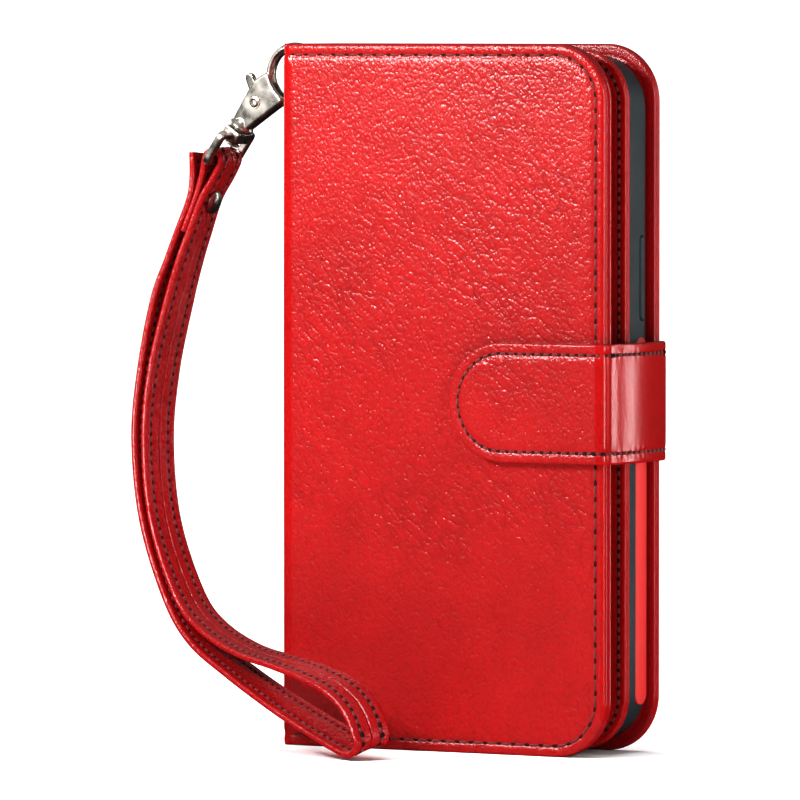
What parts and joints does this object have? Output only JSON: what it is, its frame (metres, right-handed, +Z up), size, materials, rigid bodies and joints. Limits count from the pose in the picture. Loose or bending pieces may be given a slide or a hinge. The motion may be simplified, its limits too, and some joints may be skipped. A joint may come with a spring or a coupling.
{
  "type": "phone wallet case",
  "caption": "Red leather folio phone wallet case with a card leaf, moulded phone shell, magnetic clasp strap and a wrist strap on a swivel snap hook, standing closed.",
  "frame": {"origin": "centre of the closed case's footprint, on the surface that it stands on", "axes": "+X from the spine to the free edge, -Y out of the front cover towards the viewer, +Z up the covers"},
  "size_m": [0.1309, 0.0613, 0.1602],
  "materials": {
    "cover_leather": "glossy pebble-grain coated leather, bright red",
    "lining_leather": "smoother red coated leather lining",
    "strap_leather": "doubled and stitched red coated leather",
    "greyboard": "pressed board stiffener",
    "magnet_steel": "plated steel and magnet discs",
    "shell_rubber": "satin dark grey moulded elastomer",
    "stripe_plastic": "satin red inlay",
    "nickel": "bright nickel plating"
  },
  "bodies": {
    "back_cover": {"back_cover_skin": "cover_leather", "back_cover_board": "greyboard", "back_cover_lining": "lining_leather", "holding_magnets": "magnet_steel", "clasp_anchor": "cover_leather"},
    "spine": {"spine_skin": "cover_leather", "spine_board": "greyboard", "spine_lining": "lining_leather", "ring_tab": "cover_leather"},
    "d_ring": {"d_ring": "nickel"},
    "front_cover": {"front_cover_skin": "cover_leather", "front_cover_board": "greyboard", "front_cover_lining": "lining_leather", "clasp_keeper_plate": "magnet_steel", "cash_pocket": "lining_leather", "cover_card_pocket_1": "lining_leather", "cover_card_pocket_2": "lining_leather", "cover_card_pocket_3": "lining_leather"},
    "card_leaf": {"leaf_front_panel": "cover_leather", "leaf_board": "greyboard", "leaf_back_panel": "cover_leather", "leaf_card_pocket_1": "lining_leather", "leaf_card_pocket_2": "lining_leather", "leaf_card_pocket_3": "lining_leather"},
    "phone_shell": {"phone_shell": "shell_rubber", "shell_steel_plate": "magnet_steel", "side_stripe_right": "stripe_plastic", "side_stripe_left": "stripe_plastic"},
    "power_button": {"power_button": "shell_rubber"},
    "volume_up_button": {"volume_up_button": "shell_rubber"},
    "volume_down_button": {"volume_down_button": "shell_rubber"},
    "clasp_side": {"clasp_side_strap": "cover_leather"},
    "clasp_tab": {"clasp_tab_skin": "cover_leather", "clasp_tab_lining": "lining_leather", "clasp_magnet": "magnet_steel"},
    "snap_hook": {"hook_body": "nickel", "lever_pin": "nickel", "lever_spring": "magnet_steel"},
    "hook_lever": {"hook_lever": "nickel"},
    "swivel_eye": {"swivel_eye": "nickel"},
    "wrist_strap": {"wrist_strap": "strap_leather", "strap_rivet_post": "nickel", "strap_rivet_head": "nickel"}
  },
  "joints": [
    {"name": "spine_hinge", "type": "hinge", "parent": "back_cover", "child": "spine", "pos_m": [-0.04085, 0.0117, 0.08], "axis": [0, 0, -1], "range_deg": [0, 90]},
    {"name": "cover_hinge", "type": "hinge", "parent": "spine", "child": "front_cover", "pos_m": [-0.04035, -0.0112, 0.08], "axis": [0, 0, -1], "range_deg": [0, 90], "deforming": ["clasp_tab_skin", "clasp_tab_lining", "clasp_magnet"]},
    {"name": "leaf_hinge", "type": "hinge", "parent": "spine", "child": "card_leaf", "pos_m": [-0.03795, -0.0011, 0.08], "axis": [0, 0, -1], "range_deg": [0, 45.5]},
    {"name": "clasp_bend", "type": "hinge", "parent": "back_cover", "child": "clasp_side", "pos_m": [0.0431, 0.0138, 0.0795], "axis": [0, 0, 1], "range_deg": [0, 90]},
    {"name": "clasp_tab_bend", "type": "hinge", "parent": "clasp_side", "child": "clasp_tab", "pos_m": [0.0431, -0.0143, 0.0795], "axis": [0, 0, 1], "range_deg": [0, 90.5]},
    {"name": "shell_lift", "type": "slide", "parent": "back_cover", "child": "phone_shell", "axis": [0, 0, 1], "range_m": [0, 0.155]},
    {"name": "power_press", "type": "slide", "parent": "phone_shell", "child": "power_button", "axis": [-1, 0, 0], "range_m": [0, 0.0006], "stiffness_N_per_m": 400},
    {"name": "volume_up_press", "type": "slide", "parent": "phone_shell", "child": "volume_up_button", "axis": [1, 0, 0], "range_m": [0, 0.0006], "stiffness_N_per_m": 400},
    {"name": "volume_down_press", "type": "slide", "parent": "phone_shell", "child": "volume_down_button", "axis": [1, 0, 0], "range_m": [0, 0.0006], "stiffness_N_per_m": 400},
    {"name": "ring_swing", "type": "hinge", "parent": "spine", "child": "d_ring", "pos_m": [-0.0447, 0.007, 0.1448], "axis": [0, 1, 0], "range_deg": [-6, 2]},
    {"name": "hook_swing", "type": "hinge", "parent": "d_ring", "child": "snap_hook", "pos_m": [-0.05039, 0.007, 0.15271], "axis": [0, 1, 0], "range_deg": [0, 70]},
    {"name": "lever_press", "type": "hinge", "parent": "snap_hook", "child": "hook_lever", "pos_m": [-0.06032, 0.007, 0.14648], "axis": [0, -1, 0], "range_deg": [0, 24], "stiffness_Nm_per_rad": 0.004, "springref_deg": -17.19},
    {"name": "swivel_turn", "type": "hinge", "parent": "snap_hook", "child": "swivel_eye", "pos_m": [-0.0647, 0.007, 0.141], "axis": [-0.5736, 0, -0.8192], "range_deg": [0, 90.5]},
    {"name": "strap_swing", "type": "hinge", "parent": "swivel_eye", "child": "wrist_strap", "pos_m": [-0.07032, 0.007, 0.13297], "axis": [0, 1, 0], "range_deg": [0, 70]}
  ],
  "couplings": [
    {"joint": "leaf_hinge", "follows": "cover_hinge", "ratio": 0.5},
    {"joint": "swivel_turn", "follows": "cover_hinge", "ratio": 1},
    {"joint": "clasp_tab_bend", "follows": "clasp_bend", "ratio": 1}
  ]
}
